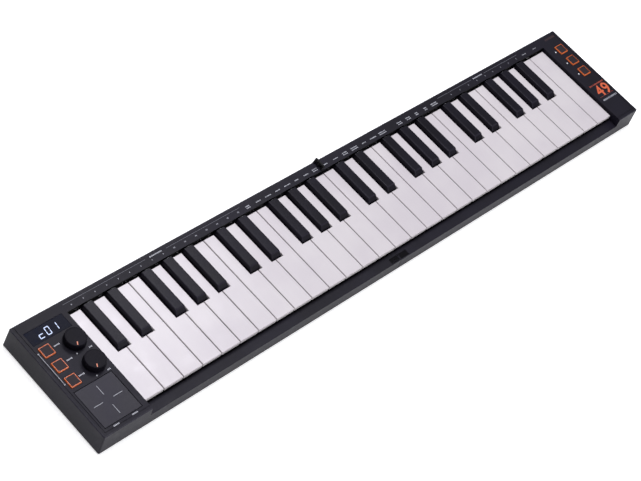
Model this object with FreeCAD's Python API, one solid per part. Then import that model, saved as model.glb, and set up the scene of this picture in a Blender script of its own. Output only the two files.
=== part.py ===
import FreeCAD, Part
import os
from FreeCAD import Vector

# Folding 49-key MIDI keyboard, opened flat. Millimetres, +Z up, +X towards the treble end,
# +Y towards the rear. The fold seam is the plane x = 0 and the feet stand on z = 0.

# ---- keys
key_pitch = 20.0
key_gap = 0.6
left_whites = 14
right_whites = 15
white_top = 18.4
white_plate = 2.5
white_front = -46.2
lip_height = 3.2
lip_depth = 2.0
black_front = -0.8
black_width = 10.6
black_top_width = 9.6
black_rise = 3.6
black_front_slope = 2.9
black_depth_below = 4.4
black_side_gap = 1.1
key_rear = 43.6
key_rib_width = 6.0
key_rib_start = 8.0
key_rib_bottom = 10.4
key_tail_end = 49.3
tail_room = 0.4
black_tail_width = 8.0
black_tail_root = 6.0
# centres of the black keys inside an octave, in pitches from the left side of C
black_places = {"c_sharp": 0.90, "d_sharp": 2.10, "f_sharp": 3.87, "g_sharp": 5.0, "a_sharp": 6.13}
white_letters = ["c", "d", "e", "f", "g", "a", "b"]
lowest_octave = 2

# ---- pivot rods of the keys
rod_y = 47.5
rod_z = 13.4
rod_radius = 1.0
rod_clearance = 0.05

# ---- case
foot_height = 1.0
case_height = 20.4
half_length = 328.0
half_depth = 56.0
draft_run = 0.8
wall = 2.0
seam_gap = 0.3
corner_radius = 1.2
top_edge = 0.5
rail_height = 11.6
rail_rear = -47.0
rail_wall = 2.0
strip_front = 45.2
strip_lip = 0.4
strip_lip_width = 1.2
seam_wall_share = 0.8
divider_share = 0.9
rail_start = 0.8
rib_front = 3.0
rib_rear = 2.0
seam_wall_top = 10.0
board_ledge_ys = (-29.0, 17.0)
board_ledge_depth = 2.0
board_ledge_start = 4.0
board_ledge_end = 6.0
# overlap joins blocks that are fused, snug is the play of a tight hole, sliver keeps cuts clear of faces
overlap = 0.1
snug = 0.02
sliver = 0.01
beyond = 1.0
outside_x = 400.0
outside_y = 100.0
panel_margin = 0.7
rib_thickness = 1.6
rib_top = 15.0
end_rib_shift = 0.6
rod_seam_end = 0.7
rod_panel_end = 0.5

case_bottom = foot_height
panel_top = foot_height + case_height
panel_under = panel_top - wall
rail_top = foot_height + rail_height
floor_top = case_bottom + wall
key_field_left = -left_whites * key_pitch
key_field_right = right_whites * key_pitch
left_panel_edge = key_field_left - panel_margin
right_panel_edge = key_field_right + panel_margin

# ---- fold hinge, along the rear strip, its axis above the black keys
fold_rise = 3.0
fold_z = panel_top + fold_rise
barrel_radius = 1.35
hinge_pin_radius = 0.6
pin_inset = 0.2
hinge_clearance = 0.05
knuckle_count = 5
knuckle_gap = 0.25
knuckle_foot = 3.0
knuckle_crest = (0.95, 0.85)
hinge_front = strip_front + 0.4
hinge_rear = half_depth

# ---- catch plates of the front rail
catch_start = 0.6
catch_width = 10.0
catch_front = -55.6
catch_rear = -50.2
catch_depth = 1.2
catch_clearance = 0.05
catch_round = 2.2
catch_dimple = (-6.0, -53.0)
catch_dimple_radius = 0.8

# ---- controls of the left panel
knob_x = -292.5
knob_ys = [22.0, -1.1]
knob_base_radius = 9.3
knob_top_radius = 8.6
knob_bottom = panel_top + 0.3
knob_top = panel_top + 5.8
knob_skirt_inner = 7.6
knob_hub_radius = 4.6
knob_cap_plate = 1.7
knob_edge = 0.5
knob_hub_lift = 0.3
shaft_radius = 3.0
shaft_room = 0.8
shaft_play = 0.05
shaft_lift = 0.5
pot_floor = 0.4
pot_size = 11.0
bush_wall = 0.5
pointer_angle = 241.0
pointer_start = 4.4
pointer_end = 8.0
pointer_half_width = 0.45
pointer_depth = 0.3

button_size = 10.0
button_clearance = 0.2
button_rise = 1.0
button_flange = 12.4
button_travel = 0.7
button_edge = 0.4
button_stem = 4.0
flange_depth = 1.5
switch_size = 4.6
switch_height = 0.4
left_button_x = -316.3
left_button_ys = [25.5, 10.3, -5.0]
right_button_x = 316.0
right_button_ys = [34.8, 19.5, 4.3]
light_pipe_x = 308.2
light_pipe_radius = 0.8
light_pipe_play = 0.05
light_pipe_lift = 0.6

pad_size = 36.0
pad_gap = 0.4
pad_centre = (-304.2, -31.7)

window_length = 36.8
window_depth = 12.8
window_centre = (-303.7, 40.2)
window_thickness = 1.15
window_recess = 0.05
display_module = (34.0, 12.0)

groove_inset = 3.2
groove_width = 0.4
groove_depth = 0.5

# ---- boards
board_thickness = 1.6
control_board_z = 12.8
contact_board_z = 4.2
port_board_z = 3.2
contact_board_inset = 8.0
contact_board_start = 6.0
contact_strip_ys = (-16.0, 6.0)
contact_strip_depth = 7.0
contact_strip_height = 0.6
contact_strip_inset = 2.0
battery_z = 3.2
battery_height = 5.4
# outlines as x0, x1, y0, y1
control_board = (-324.6, -283.4, -11.0, 47.8)
port_board = (-318.5, -288.5, 36.0, 53.4)
pad_board = (-324.2, -284.2, -48.9, -12.4)
battery = (-324.0, -284.4, -8.0, 28.0)
button_board = (304.0, 325.6, -4.0, 43.0)

# ---- sockets in the rear wall of the left half
jack_x = -296.5
jack_radius = 1.8
jack_nose_radius = 2.9
jack_front = 42.5
usb_x = -310.5
usb_width = 8.9
usb_height = 3.2
usb_front = 49.0
usb_shell = 0.3
socket_recess = 0.1
jack_floor = 1.5
usb_tongue_half_width = 3.3
usb_tongue_half_height = 0.35
jack_body_half_width = 3.6
socket_clearance = 0.15

# ---- fasteners and feet
screw_head_radius = 2.0
screw_head_height = 1.2
screw_radius = 1.0
screw_top = 17.0
screw_room = 0.6
screw_socket = 1.4
screw_socket_depth = 0.5
screw_hole_clearance = 0.2
screw_recess_clearance = 0.3
boss_radius = 2.6
strip_boss_radius = 2.1
strip_boss_y = 51.9
foot_radius = 5.0
foot_recess = 0.6
foot_edge = 0.3
foot_clearance = 0.1
left_screws = [(-322.8, 50.6), (-285.2, 50.6), (-322.8, -52.0), (-285.2, -52.0),
               (-210.0, strip_boss_y), (-140.0, strip_boss_y), (-70.0, strip_boss_y), (-8.0, strip_boss_y)]
right_screws = [(322.8, 50.6), (305.2, 50.6), (322.8, -52.0), (305.2, -52.0),
                (230.0, strip_boss_y), (156.0, strip_boss_y), (80.0, strip_boss_y), (8.0, strip_boss_y)]
left_feet = [(-316.0, -44.0), (-316.0, 43.0), (-24.0, -44.0), (-24.0, 43.0)]
right_feet = [(316.0, -44.0), (316.0, 43.0), (24.0, -44.0), (24.0, 43.0)]


def box(x0, x1, y0, y1, z0, z1):
    return Part.makeBox(x1 - x0, y1 - y0, z1 - z0, Vector(x0, y0, z0))


def square(x, y, size, z0, z1):
    half = size / 2
    return box(x - half, x + half, y - half, y + half, z0, z1)


def post(x, y, radius, z0, z1):
    return Part.makeCylinder(radius, z1 - z0, Vector(x, y, z0), Vector(0, 0, 1))


def rod_along_x(x0, x1, y, z, radius):
    return Part.makeCylinder(radius, x1 - x0, Vector(x0, y, z), Vector(1, 0, 0))


def rod_along_y(y0, y1, x, z, radius):
    return Part.makeCylinder(radius, y1 - y0, Vector(x, y0, z), Vector(0, 1, 0))


def prism_xy(outline, z0, z1):
    points = [Vector(x, y, z0) for x, y in outline]
    return Part.Face(Part.makePolygon(points + [points[0]])).extrude(Vector(0, 0, z1 - z0))


def prism_xz(outline, y0, y1):
    points = [Vector(x, y0, z) for x, z in outline]
    return Part.Face(Part.makePolygon(points + [points[0]])).extrude(Vector(0, y1 - y0, 0))


def tapered_block(bottom, z0, top, z1):
    """A block between two rectangles given as (x0, x1, y0, y1)."""
    x0, x1, y0, y1 = bottom
    u0, u1, v0, v1 = top
    block = Part.makeWedge(x0, z0, -y1, -v1, u0, x1, z1, -y0, -v0, u1)
    block.rotate(Vector(0, 0, 0), Vector(1, 0, 0), 90)
    return block


def fused(shapes):
    return shapes[0].multiFuse(shapes[1:]).removeSplitter()


def stadium_along_y(x, z, width, height, y0, y1):
    radius = height / 2
    reach = width / 2 - radius
    middle = box(x - reach, x + reach, y0, y1, z - radius, z + radius)
    ends = [rod_along_y(y0, y1, x + s * reach, z, radius) for s in (-1, 1)]
    return fused([middle] + ends)


def save(name, solids):
    shape = solids[0] if len(solids) == 1 else Part.makeCompound(solids)
    shape.exportStep("parts/" + name + ".step")


# ---- keys

def octave_blacks():
    """Left and right side of every black key as (octave, letter, x0, x1)."""
    sides = []
    octaves = (left_whites + right_whites) // 7
    for octave in range(octaves):
        origin = key_field_left + octave * 7 * key_pitch
        for letter, place in black_places.items():
            centre = origin + place * key_pitch
            sides.append((octave, letter, centre - black_width / 2, centre + black_width / 2))
    return sides


def white_key(index, blacks):
    x0 = key_field_left + index * key_pitch + key_gap / 2
    x1 = x0 + key_pitch - key_gap
    stem0, stem1 = x0, x1
    for _, _, b0, b1 in blacks:
        if b0 < x0 < b1:
            stem0 = b1 + black_side_gap
        if b0 < x1 < b1:
            stem1 = b0 - black_side_gap
    head_rear = black_front - black_side_gap
    outline = [(x0, white_front), (x1, white_front), (x1, head_rear), (stem1, head_rear),
               (stem1, key_rear), (stem0, key_rear), (stem0, head_rear), (x0, head_rear)]
    middle = (stem0 + stem1) / 2
    half_rib = key_rib_width / 2
    plate = prism_xy(outline, white_top - white_plate, white_top)
    lip = box(x0, x1, white_front, white_front + lip_depth, white_top - lip_height, white_top)
    rib = box(middle - half_rib, middle + half_rib, white_front + key_rib_start, key_tail_end,
              key_rib_bottom, white_top - white_plate)
    return fused([plate, lip, rib]).cut(rod_bore(middle))


def black_key(x0, x1):
    middle = (x0 + x1) / 2
    half_top = black_top_width / 2
    half_tail = black_tail_width / 2
    skirt = box(x0, x1, black_front, key_rear, white_top - black_depth_below, white_top)
    cap = tapered_block((x0, x1, black_front, key_rear), white_top,
                        (middle - half_top, middle + half_top, black_front + black_front_slope, key_rear),
                        white_top + black_rise)
    tail = box(middle - half_tail, middle + half_tail, key_rear - black_tail_root, key_tail_end,
               key_rib_bottom, white_top - white_plate)
    return fused([skirt, cap, tail]).cut(rod_bore(middle))


def rod_bore(middle):
    return rod_along_x(middle - key_pitch, middle + key_pitch, rod_y, rod_z, rod_radius + rod_clearance)


def save_keys():
    blacks = octave_blacks()
    for index in range(left_whites + right_whites):
        letter = white_letters[index % 7]
        save("key_%s_%d" % (letter, lowest_octave + index // 7), [white_key(index, blacks)])
    for octave, letter, x0, x1 in blacks:
        save("key_%s_%d" % (letter, lowest_octave + octave), [black_key(x0, x1)])


# ---- case halves; side is -1 for the bass half and +1 for the treble half

def spread(z):
    return draft_run * (panel_top - z) / case_height


def half_rectangle(side, z, inset):
    reach = half_length + spread(z) - inset
    seam = seam_gap / 2 + inset * seam_wall_share
    depth = half_depth + spread(z) - inset
    x0, x1 = sorted((side * reach, side * seam))
    return (x0, x1, -depth, depth)


def outer_block(side):
    block = tapered_block(half_rectangle(side, case_bottom, 0), case_bottom,
                          half_rectangle(side, panel_top, 0), panel_top)
    corners = []
    for edge in block.Edges:
        low = min(v.Z for v in edge.Vertexes)
        high = max(v.Z for v in edge.Vertexes)
        if high - low > wall and abs(edge.CenterOfMass.x) > half_length / 2:
            corners.append(edge)
    block = block.makeFillet(corner_radius, corners)
    rims = []
    for edge in block.Edges:
        flat = all(abs(v.Z - panel_top) < sliver for v in edge.Vertexes)
        if flat and abs(edge.CenterOfMass.x) > seam_gap:
            rims.append(edge)
    return block.makeChamfer(top_edge, rims)


def inner_block(side, z0, z1):
    return tapered_block(half_rectangle(side, z0, wall), z0, half_rectangle(side, z1, wall), z1)


def panel_edge(side):
    return left_panel_edge if side < 0 else right_panel_edge


def span(side, near, far):
    """An x range on one side of the seam, from distances or signed places."""
    return sorted((side * abs(near), side * abs(far)))


def rod_range(side):
    return span(side, rod_seam_end, abs(panel_edge(side)) - rod_panel_end)


def rib_places(side):
    """Ribs that carry the pivot rod: beside every octave and between E and F."""
    last = key_field_right if side > 0 else 0
    first = 0 if side > 0 else key_field_left
    places = []
    x = first
    while x <= last + overlap:
        places.append(x)
        between = x + 3 * key_pitch
        if between < last:
            places.append(between)
        x += 7 * key_pitch
    if side > 0:
        places.append(last)
    clear = []
    for place in places:
        if abs(place) < 1:
            place = side * (seam_gap / 2 + rib_thickness / 2)
        elif abs(place - last) < 1 or abs(place - first) < 1:
            place += end_rib_shift if place < 0 else -end_rib_shift
        clear.append(place)
    return clear


def screws_of(side):
    return left_screws if side < 0 else right_screws


def boss_size(y):
    return strip_boss_radius if y == strip_boss_y else boss_radius


def base_shell(side):
    outer = outer_block(side)
    lid = box(-outside_x, outside_x, -outside_y, outside_y, rail_top, panel_top + beyond)
    shell = outer.cut(lid).cut(inner_block(side, floor_top, rail_top + sliver))
    edge = abs(panel_edge(side))
    x0, x1 = span(side, seam_gap / 2 + rail_start, edge + wall)
    front = -half_depth - spread(rail_top) + wall / 2
    pieces = [shell]
    pieces.append(box(x0, x1, front, rail_rear, rail_top - rail_wall, rail_top))
    pieces.append(box(x0, x1, rail_rear - rail_wall, rail_rear, floor_top, rail_top))
    a, b = span(side, edge, edge + wall)
    pieces.append(box(a, b, -half_depth + wall / 2, rail_rear, floor_top, rail_top))
    for x in rib_places(side):
        half = rib_thickness / 2
        pieces.append(box(x - half, x + half, rod_y - rib_front, rod_y + rib_rear, floor_top, rib_top))
    for y in board_ledge_ys:
        c, d = span(side, board_ledge_start, edge - board_ledge_end)
        pieces.append(box(c, d, y, y + board_ledge_depth, floor_top, contact_board_z))
    for x, y in screws_of(side):
        pieces.append(post(x, y, boss_size(y), floor_top, rail_top))
    shell = fused(pieces)
    # the seam wall is low where the keys beside it dip
    a, b = span(side, 0, wall * seam_wall_share + seam_gap / 2)
    cuts = [box(a, b, rail_rear, rod_y - rib_front, seam_wall_top, rail_top + beyond)]
    r0, r1 = rod_range(side)
    cuts.append(rod_along_x(r0, r1, rod_y, rod_z, rod_radius + snug))
    for x, y in screws_of(side):
        cuts.append(post(x, y, screw_radius + screw_hole_clearance, case_bottom, rail_top))
        cuts.append(post(x, y, screw_head_radius + screw_recess_clearance, case_bottom,
                         case_bottom + screw_head_height + screw_hole_clearance))
    for x, y in (left_feet if side < 0 else right_feet):
        cuts.append(post(x, y, foot_radius + foot_clearance, case_bottom, case_bottom + foot_recess))
    c0, c1 = span(side, catch_start, catch_start + catch_width)
    cuts.append(box(c0 - catch_clearance, c1 + catch_clearance, catch_front - catch_clearance,
                    catch_rear + catch_clearance, rail_top - catch_depth, rail_top + beyond))
    if side < 0:
        inside, outside = half_depth - wall - beyond, half_depth + wall
        cuts.append(rod_along_y(inside, outside, jack_x, jack_z(), jack_nose_radius + foot_clearance))
        cuts.append(stadium_along_y(usb_x, usb_z(), usb_width + 2 * socket_clearance,
                                    usb_height + 2 * socket_clearance, inside, outside))
    return shell.cut(Part.makeCompound(cuts))


def top_shell(side):
    outer = outer_block(side)
    tray = box(-outside_x, outside_x, -outside_y, outside_y, 0, rail_top)
    shell = outer.cut(tray).cut(inner_block(side, rail_top - sliver, panel_under))
    edge = abs(panel_edge(side))
    a, b = span(side, 0, edge)
    shell = shell.cut(box(a, b, -outside_y, strip_front, rail_top - beyond, panel_top + beyond))
    # the seam wall stops behind the tails of the keys
    a, b = span(side, 0, wall + seam_gap)
    shell = shell.cut(box(a, b, strip_front, key_tail_end + tail_room, rail_top - beyond, panel_under))
    pieces = [shell]
    c, d = span(side, edge, edge + wall * divider_share)
    pieces.append(box(c, d, -half_depth + wall / 2, half_depth - wall / 2, rail_top, panel_under + overlap))
    e, f = span(side, seam_gap / 2, edge)
    pieces.append(box(e, f, strip_front, strip_front + strip_lip_width, panel_under - strip_lip,
                      panel_under + overlap))
    for x, y in screws_of(side):
        boss_top = panel_under + overlap if y > 0 else panel_under - board_thickness
        pieces.append(post(x, y, boss_size(y), rail_top, boss_top))
    pieces += knuckles(side)
    shell = fused(pieces)
    cuts = [hinge_bore(side)]
    for x, y in screws_of(side):
        cuts.append(post(x, y, screw_radius + snug, rail_top - beyond, screw_top + screw_room))
    cuts += panel_openings(side)
    cuts += panel_groove(side)
    return shell.cut(Part.makeCompound(cuts))


def knuckle_spans():
    length = (hinge_rear - hinge_front - (knuckle_count - 1) * knuckle_gap) / knuckle_count
    return [(hinge_front + i * (length + knuckle_gap), hinge_front + i * (length + knuckle_gap) + length)
            for i in range(knuckle_count)]


def knuckles(side):
    """The bass half carries the outer and middle knuckles, the treble half the two between."""
    near = side * seam_gap
    made = []
    for i, (y0, y1) in enumerate(knuckle_spans()):
        if (i % 2 == 0) != (side < 0):
            continue
        root = panel_top - overlap
        crest_x, crest_rise = knuckle_crest
        slope = [(side * knuckle_foot, root), (near, root), (near, fold_z),
                 (side * crest_x, fold_z + crest_rise)]
        made.append(fused([rod_along_y(y0, y1, 0, fold_z, barrel_radius), prism_xz(slope, y0, y1)]))
    return made


def hinge_bore(side):
    clearance = 0.0 if side < 0 else hinge_clearance
    radius = hinge_pin_radius + sliver + clearance
    return rod_along_y(hinge_front - beyond, hinge_rear + beyond, 0, fold_z, radius)


def panel_openings(side):
    low, high = panel_under - beyond, panel_top + beyond
    openings = []
    hole = button_size + 2 * button_clearance
    x = left_button_x if side < 0 else right_button_x
    for y in (left_button_ys if side < 0 else right_button_ys):
        openings.append(square(x, y, hole, low, high))
    if side > 0:
        for y in right_button_ys:
            openings.append(post(light_pipe_x, y, light_pipe_radius + light_pipe_play, low, high))
        return openings
    for y in knob_ys:
        openings.append(post(knob_x, y, shaft_radius + shaft_room, low, high))
    openings.append(square(pad_centre[0], pad_centre[1], pad_size + 2 * pad_gap, low, high))
    wx, wy = window_centre
    reach_x, reach_y = window_length / 2 + overlap, window_depth / 2 + overlap
    openings.append(box(wx - reach_x, wx + reach_x, wy - reach_y, wy + reach_y, low, high))
    return openings


def panel_groove(side):
    """A shallow line inside the end and front edges of the control panel."""
    outside = half_length - groove_inset
    front = -half_depth + groove_inset
    inside = abs(panel_edge(side))
    low, high = panel_top - groove_depth, panel_top + beyond
    a, b = span(side, outside - groove_width, outside)
    c, d = span(side, inside, outside)
    return [box(a, b, front, half_depth, low, high), box(c, d, front, front + groove_width, low, high)]


# ---- electronics of the bass half

def jack_z():
    return port_board_z + board_thickness + jack_nose_radius


def usb_z():
    return port_board_z + board_thickness + usb_height / 2


def board(x0, x1, y0, y1, z):
    return box(x0, x1, y0, y1, z, z + board_thickness)


def potentiometer(y):
    z0 = control_board_z + board_thickness
    body_top = panel_under - foot_recess
    body = square(knob_x, y, pot_size, z0, body_top)
    bush = post(knob_x, y, shaft_radius + bush_wall, body_top - overlap, panel_top)
    bore = post(knob_x, y, shaft_radius + shaft_play, z0 + pot_floor, panel_top + beyond)
    return fused([body, bush]).cut(bore)


def jack_socket():
    z = jack_z()
    nose_end = half_depth + spread(z) - socket_recess
    body = box(jack_x - jack_body_half_width, jack_x + jack_body_half_width,
               jack_front, half_depth - wall - socket_clearance,
               port_board_z + board_thickness, z + jack_nose_radius)
    nose = rod_along_y(jack_front + beyond, nose_end, jack_x, z, jack_nose_radius)
    bore = rod_along_y(jack_front + jack_floor, nose_end + beyond, jack_x, z, jack_radius)
    return fused([body, nose]).cut(bore)


def usb_socket():
    z = usb_z()
    rear = half_depth + spread(z) - socket_recess
    outside = stadium_along_y(usb_x, z, usb_width, usb_height, usb_front, rear)
    inside = stadium_along_y(usb_x, z, usb_width - 2 * usb_shell, usb_height - 2 * usb_shell,
                             usb_front + 2 * usb_shell, rear + beyond)
    tongue = box(usb_x - usb_tongue_half_width, usb_x + usb_tongue_half_width, usb_front + usb_shell,
                 rear - 3 * usb_shell, z - usb_tongue_half_height, z + usb_tongue_half_height)
    return fused([outside.cut(inside), tongue])


def contact_board(side):
    reach = abs(panel_edge(side)) - contact_board_inset
    x0, x1 = span(side, contact_board_start, reach)
    strips_z = contact_board_z + board_thickness
    front = board_ledge_ys[0] - beyond
    rear = board_ledge_ys[1] + board_ledge_depth + beyond
    solids = [board(x0, x1, front, rear, contact_board_z)]
    for y in contact_strip_ys:
        solids.append(box(x0 + contact_strip_inset, x1 - contact_strip_inset, y, y + contact_strip_depth,
                          strips_z, strips_z + contact_strip_height))
    return solids


def left_electronics():
    switch_z = control_board_z + board_thickness
    px, py = pad_centre
    wx, wy = window_centre
    solids = [board(*control_board, control_board_z), board(*port_board, port_board_z)]
    solids.append(box(*battery, battery_z, battery_z + battery_height))
    solids.append(board(*pad_board, panel_under - board_thickness))
    solids.append(square(px, py, pad_size, panel_under, panel_top))
    window_top = panel_top - window_recess
    window_bottom = window_top - window_thickness
    mx, my = display_module[0] / 2, display_module[1] / 2
    solids.append(box(wx - mx, wx + mx, wy - my, wy + my, switch_z, window_bottom))
    solids.append(box(wx - window_length / 2, wx + window_length / 2, wy - window_depth / 2,
                      wy + window_depth / 2, window_bottom, window_top))
    solids += [potentiometer(y) for y in knob_ys]
    solids += [square(left_button_x, y, switch_size, switch_z, switch_z + switch_height)
               for y in left_button_ys]
    solids += [jack_socket(), usb_socket()]
    return solids + contact_board(-1)


# ---- loose hardware

def screw(x, y):
    head_z = case_bottom + screw_hole_clearance
    head = post(x, y, screw_head_radius, head_z, head_z + screw_head_height)
    socket = square(x, y, screw_socket, head_z - overlap, head_z + screw_socket_depth)
    shank = post(x, y, screw_radius, head_z + screw_head_height, screw_top)
    return fused([head, shank]).cut(socket)


def foot(x, y):
    disc = post(x, y, foot_radius, 0, foot_height + foot_recess)
    rim = [e for e in disc.Edges if e.BoundBox.ZMax < sliver]
    return disc.makeChamfer(foot_edge, rim)


def catch_plate(side):
    """A plate let into the front rail beside the seam; the treble one has a round end."""
    x0, x1 = span(side, catch_start, catch_start + catch_width)
    plate = box(x0, x1, catch_front, catch_rear, rail_top - catch_depth, rail_top)
    if side > 0:
        middle = (catch_front + catch_rear) / 2
        upright = [e for e in plate.Edges if e.BoundBox.ZLength > 1 and e.CenterOfMass.y > middle]
        return plate.makeFillet(catch_round, upright)
    x, y = catch_dimple
    return plate.cut(post(x, y, catch_dimple_radius, rail_top - catch_depth / 2, rail_top + beyond))


def pivot_rod(side):
    x0, x1 = rod_range(side)
    return rod_along_x(x0, x1, rod_y, rod_z, rod_radius)


def hardware(side):
    solids = [pivot_rod(side), catch_plate(side)]
    solids += [screw(x, y) for x, y in screws_of(side)]
    solids += [foot(x, y) for x, y in (left_feet if side < 0 else right_feet)]
    return solids


def left_hardware():
    pin = rod_along_y(hinge_front + pin_inset, hinge_rear - pin_inset, 0, fold_z, hinge_pin_radius)
    return hardware(-1) + [pin]


def right_hardware():
    switch_z = control_board_z + board_thickness
    solids = hardware(1) + contact_board(1)
    solids.append(board(*button_board, control_board_z))
    solids += [square(right_button_x, y, switch_size, switch_z, switch_z + switch_height)
               for y in right_button_ys]
    solids += [post(light_pipe_x, y, light_pipe_radius, switch_z + light_pipe_lift, panel_top)
               for y in right_button_ys]
    return solids


# ---- moving controls

def knob(y):
    """A slightly tapered cap on its shaft; the pointer is a notch near the rim."""
    rise = knob_top - knob_bottom
    body = Part.makeCone(knob_base_radius, knob_top_radius, rise, Vector(knob_x, y, knob_bottom))
    rim = [e for e in body.Edges if e.BoundBox.ZMin > knob_top - sliver]
    body = body.makeFillet(knob_edge, rim)
    recess_top = knob_top - knob_cap_plate
    recess = post(knob_x, y, knob_skirt_inner, knob_bottom - beyond, recess_top)
    recess = recess.cut(post(knob_x, y, knob_hub_radius, knob_bottom + knob_hub_lift, recess_top + beyond))
    bore = post(knob_x, y, shaft_radius, knob_bottom - beyond, recess_top)
    notch = box(knob_x + pointer_start, knob_x + pointer_end, y - pointer_half_width, y + pointer_half_width,
                knob_top - pointer_depth, knob_top + beyond)
    notch.rotate(Vector(knob_x, y, 0), Vector(0, 0, 1), pointer_angle)
    cap = body.cut(Part.makeCompound([recess, notch])).cut(bore)
    shaft_bottom = control_board_z + board_thickness + shaft_lift
    shaft = post(knob_x, y, shaft_radius, shaft_bottom, recess_top - overlap)
    return [cap, shaft]


def button(x, y):
    top = panel_top + button_rise
    cap = square(x, y, button_size, panel_under - overlap, top)
    rim = [e for e in cap.Edges if e.BoundBox.ZMin > top - sliver]
    cap = cap.makeChamfer(button_edge, rim)
    flange_top = panel_under - overlap
    flange = square(x, y, button_flange, flange_top - flange_depth, flange_top)
    foot_z = control_board_z + board_thickness + switch_height + button_travel + overlap
    stem = square(x, y, button_stem, foot_z, flange_top - flange_depth)
    return fused([cap, flange, stem])


def main():
    os.makedirs("parts", exist_ok=True)
    save_keys()
    save("left_base_shell", [base_shell(-1)])
    save("left_top_shell", [top_shell(-1)])
    save("left_electronics", left_electronics())
    save("left_hardware", left_hardware())
    save("right_base_shell", [base_shell(1)])
    save("right_top_shell", [top_shell(1)])
    save("right_hardware", right_hardware())
    save("upper_knob", knob(knob_ys[0]))
    save("lower_knob", knob(knob_ys[1]))
    save("left_buttons", [button(left_button_x, y) for y in left_button_ys])
    save("right_buttons", [button(right_button_x, y) for y in right_button_ys])


main()
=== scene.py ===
import math
import bmesh
import bpy
from mathutils import Euler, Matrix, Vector


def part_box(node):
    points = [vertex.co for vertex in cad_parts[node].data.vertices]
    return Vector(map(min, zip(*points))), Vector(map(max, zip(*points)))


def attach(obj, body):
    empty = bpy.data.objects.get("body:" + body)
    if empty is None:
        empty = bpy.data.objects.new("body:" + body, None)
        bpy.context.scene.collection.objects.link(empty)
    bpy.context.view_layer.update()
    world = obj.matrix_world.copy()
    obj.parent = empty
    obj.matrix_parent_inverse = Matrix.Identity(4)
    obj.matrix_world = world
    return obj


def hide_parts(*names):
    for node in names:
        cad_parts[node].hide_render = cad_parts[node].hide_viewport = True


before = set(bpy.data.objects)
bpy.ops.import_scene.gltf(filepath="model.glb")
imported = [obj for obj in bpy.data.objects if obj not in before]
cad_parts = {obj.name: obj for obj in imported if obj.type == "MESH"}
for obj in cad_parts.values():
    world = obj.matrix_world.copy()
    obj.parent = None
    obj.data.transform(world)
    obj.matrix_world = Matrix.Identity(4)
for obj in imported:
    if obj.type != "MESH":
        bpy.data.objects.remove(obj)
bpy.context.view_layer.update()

# A 49-key keyboard controller in two halves that fold together.
# The dictionaries of the pieces hold millimetres in the frame of the CAD model.
# The room, the lamps and the camera are placed in metres.

mm = 0.001
print("frame loaded:", len(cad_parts), "nodes")


# sockets and trees

class Sock:
    def __init__(self, graph, socket):
        self.graph = graph
        self.socket = socket

    def maths(self, operation, first, second):
        return self.graph.node("ShaderNodeMath", {"operation": operation}, {0: first, 1: second})

    def __add__(self, other):
        return self.maths("ADD", self, other)

    def __radd__(self, other):
        return self.maths("ADD", other, self)

    def __sub__(self, other):
        return self.maths("SUBTRACT", self, other)

    def __rsub__(self, other):
        return self.maths("SUBTRACT", other, self)

    def __mul__(self, other):
        return self.maths("MULTIPLY", self, other)

    def __rmul__(self, other):
        return self.maths("MULTIPLY", other, self)

    def least(self, other):
        return self.maths("MINIMUM", self, other)

    def most(self, other):
        return self.maths("MAXIMUM", self, other)

    def single(self, operation):
        return self.graph.node("ShaderNodeMath", {"operation": operation}, {0: self})

    def size(self):
        return self.single("ABSOLUTE")

    def ramp(self, low, high, first=0.0, last=1.0):
        return self.graph.node("ShaderNodeMapRange", {"interpolation_type": "SMOOTHSTEP"}, {
            "Value": self, "From Min": low, "From Max": high, "To Min": first, "To Max": last})


class Graph:
    def __init__(self, tree):
        self.tree = tree

    def node(self, kind, settings=None, sockets=None, out=0):
        made = self.tree.nodes.new(kind)
        for name, value in (settings or {}).items():
            if name == "items":  # an index switch starts short and grows one item at a time
                for _ in range(value - len(made.index_switch_items)):
                    made.index_switch_items.new()
            else:
                setattr(made, name, value)
        for name, value in (sockets or {}).items():
            if isinstance(value, Sock):
                self.tree.links.new(value.socket, made.inputs[name])
            else:
                made.inputs[name].default_value = value
        return Sock(self, made.outputs[out]) if len(made.outputs) else None

    def mix(self, factor, first, second, blend="MIX"):
        return self.node("ShaderNodeMix", {"data_type": "RGBA", "blend_type": blend},
                         {0: factor, 6: first, 7: second}, out=2)

    def vector(self, x, y, z):
        return self.node("ShaderNodeCombineXYZ", {}, {0: x, 1: y, 2: z})


# finishes

def tone(red, green, blue):
    # a display colour from 0 to 255, made linear
    def linear(value):
        value = value / 255
        return value / 12.92 if value <= 0.04045 else ((value + 0.055) / 1.055) ** 2.4
    return (linear(red), linear(green), linear(blue), 1.0)


def axesOf(graph, vector):
    split = graph.tree.nodes.new("ShaderNodeSeparateXYZ")
    graph.tree.links.new(vector.socket, split.inputs[0])
    return [Sock(graph, socket) for socket in split.outputs]


def newFinish(name):
    material = bpy.data.materials.new(name)
    material.use_nodes = True
    material.node_tree.nodes.clear()
    graph = Graph(material.node_tree)
    graph.material = material
    return graph


def objectPlace(graph):
    return graph.node("ShaderNodeTexCoord", {}, {}, out="Object")


def grain(graph, scale, detail=2.0, roughness=0.5):
    return graph.node("ShaderNodeTexNoise", {}, {"Vector": objectPlace(graph), "Scale": scale,
                                                 "Detail": detail, "Roughness": roughness})


def wearAndShadeOf(graph):
    return graph.node("ShaderNodeAttribute", {"attribute_name": "wear_and_shade"}, {}, out="Fac")


def bump(graph, height, distance, strength=1.0):
    return graph.node("ShaderNodeBump", {}, {"Height": height, "Distance": distance, "Strength": strength})


def closeFinish(graph, **sockets):
    surface = graph.node("ShaderNodeBsdfPrincipled", {},
                         {name.replace("_", " "): value for name, value in sockets.items()})
    graph.node("ShaderNodeOutputMaterial", {}, {"Surface": surface})
    return graph.material


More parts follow.
